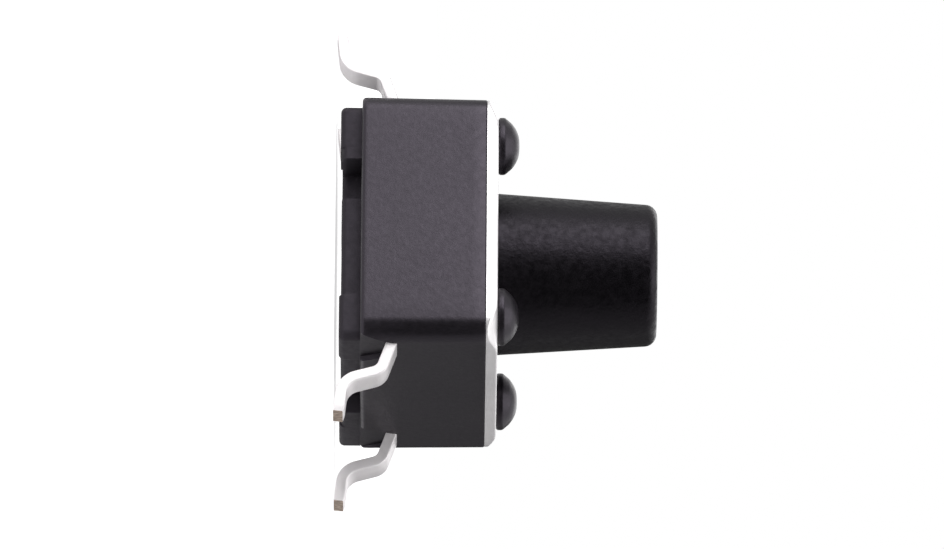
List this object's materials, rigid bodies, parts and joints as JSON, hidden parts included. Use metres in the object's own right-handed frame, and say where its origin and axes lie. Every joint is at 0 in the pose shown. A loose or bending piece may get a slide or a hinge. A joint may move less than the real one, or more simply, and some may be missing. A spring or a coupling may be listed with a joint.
{
  "type": "tactile push button switch",
  "caption": "Square surface-mount momentary push button with a tall tapered plunger, staked steel cover and gull-wing leads.",
  "frame": {"origin": "centre of the footprint on the solder plane, at the lowest edges of the lead feet", "axes": "+Z the way the plunger stands, +X across the leads from tip to tip, +Y along the lead pitch"},
  "size_m": [0.0092, 0.006, 0.0071],
  "materials": {
    "housing_nylon": "black glass-filled nylon, satin from the mould",
    "terminal_plated_brass": "stamped brass strip with a bright tin plate, bare brass on the cut ends",
    "dome_steel": "thin spring stainless",
    "plunger_nylon": "black nylon with a fine spark-eroded grain",
    "cover_steel": "stamped stainless sheet, bright"
  },
  "bodies": {
    "switch_body": {"housing": "housing_nylon", "front_terminal": "terminal_plated_brass", "rear_terminal": "terminal_plated_brass", "snap_dome": "dome_steel", "cover_plate": "cover_steel"},
    "plunger": {"plunger": "plunger_nylon"}
  },
  "joints": [
    {"name": "plunger_press", "type": "slide", "parent": "switch_body", "child": "plunger", "axis": [0, 0, -1], "range_m": [0, 0.00025], "stiffness_N_per_m": 6400, "deforming": ["snap_dome"]}
  ]
}
